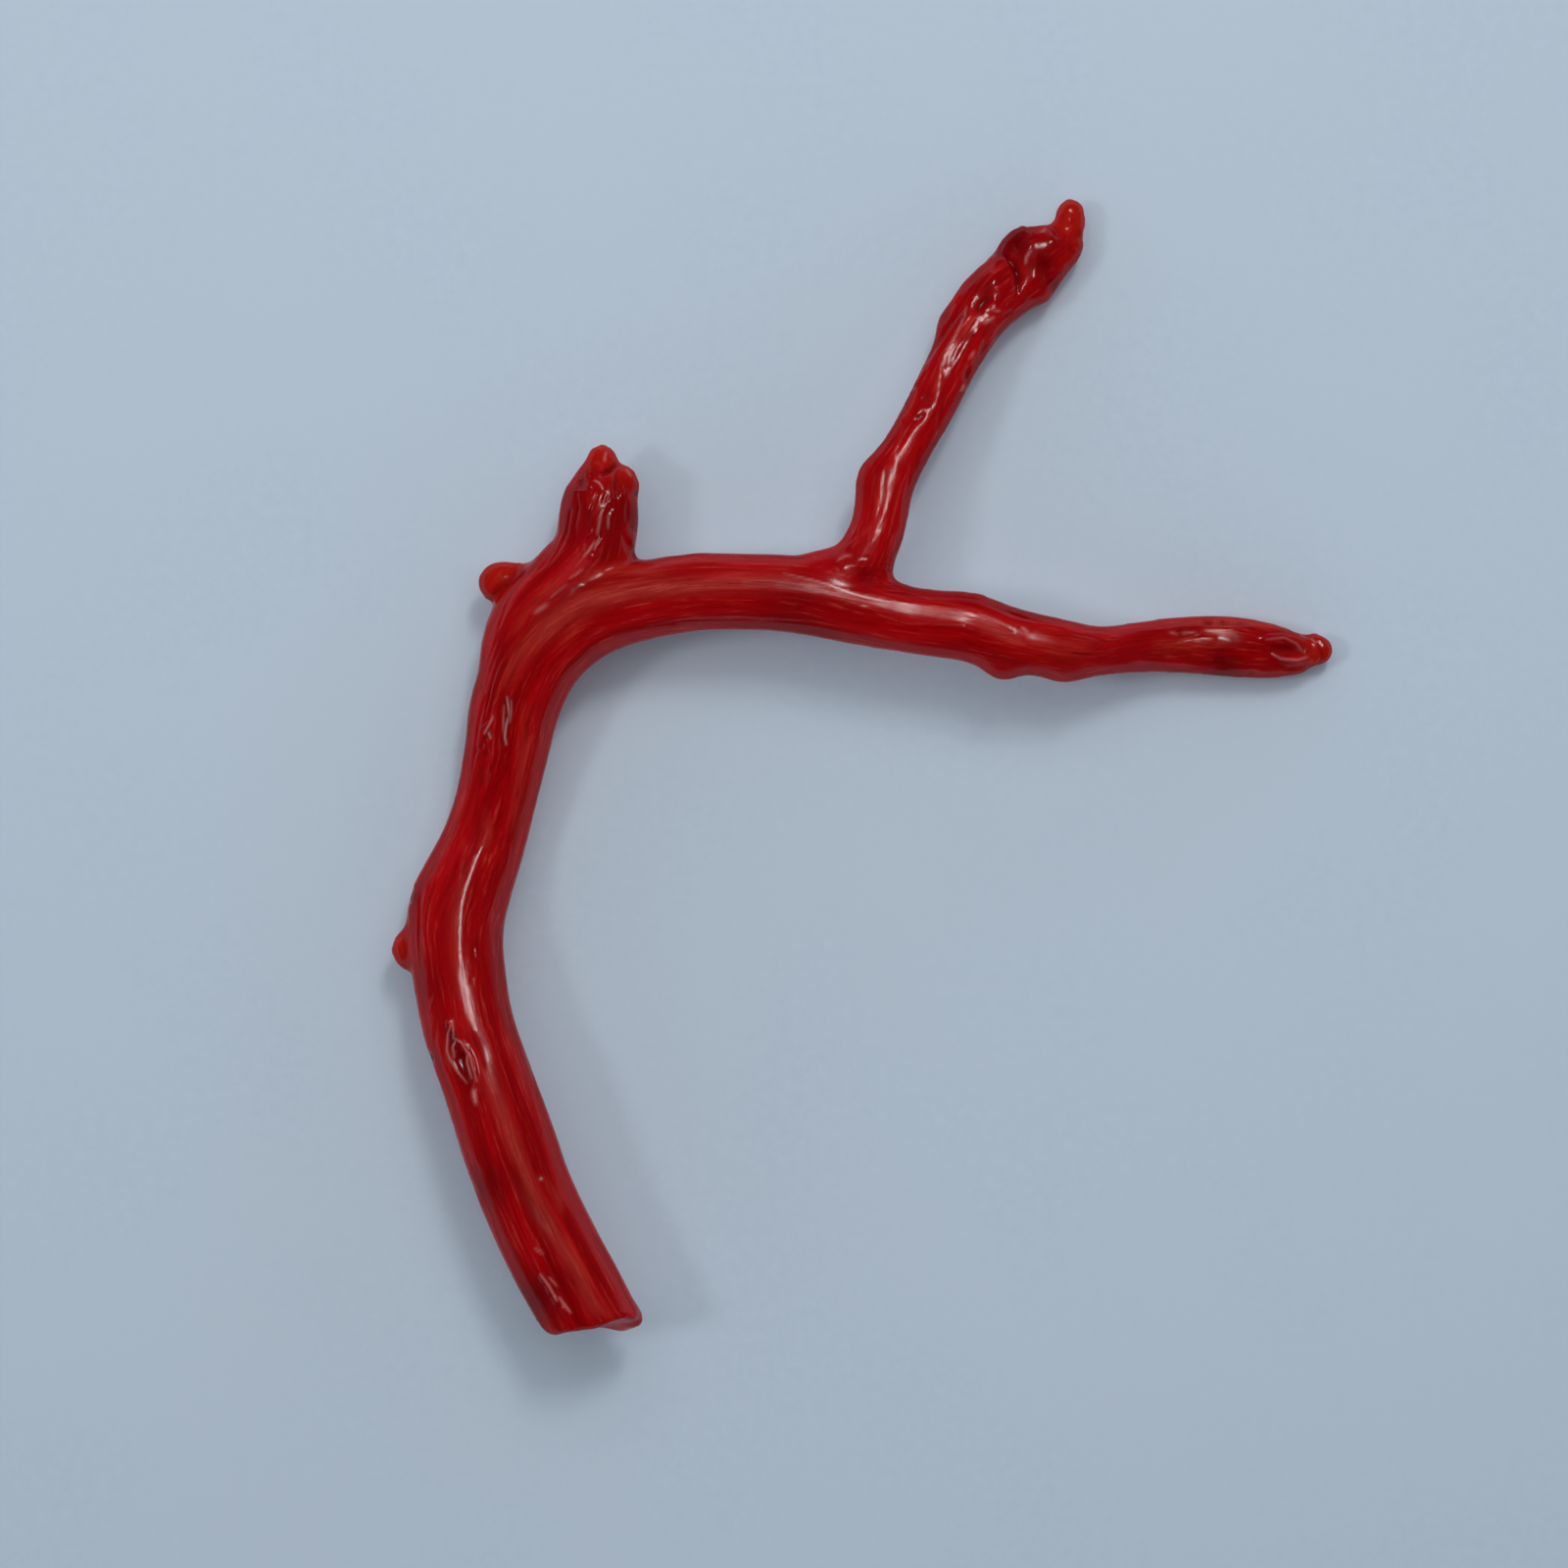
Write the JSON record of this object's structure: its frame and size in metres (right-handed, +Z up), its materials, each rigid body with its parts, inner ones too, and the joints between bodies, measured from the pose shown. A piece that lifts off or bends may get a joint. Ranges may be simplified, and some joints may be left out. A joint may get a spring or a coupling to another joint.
{
  "type": "red coral branch",
  "caption": "Small polished branch of precious red coral, sawn off at its foot, forking into a short branch, an upper branch and an outer branch, lying flat.",
  "frame": {"origin": "on the table under the middle of the branch's bounding box", "axes": "+Y runs from the sawn foot towards the twigs and is the longest extent, +X towards the tip of the outer branch, +Z up from the table and is the shortest extent"},
  "size_m": [0.0432, 0.052, 0.0067],
  "materials": {
    "coral": "polished red coral, glossy, slightly translucent at thin tips"
  },
  "bodies": {
    "root": {"main_stem": "coral", "short_branch": "coral", "arm": "coral", "upper_branch": "coral", "outer_branch": "coral"}
  },
  "joints": []
}
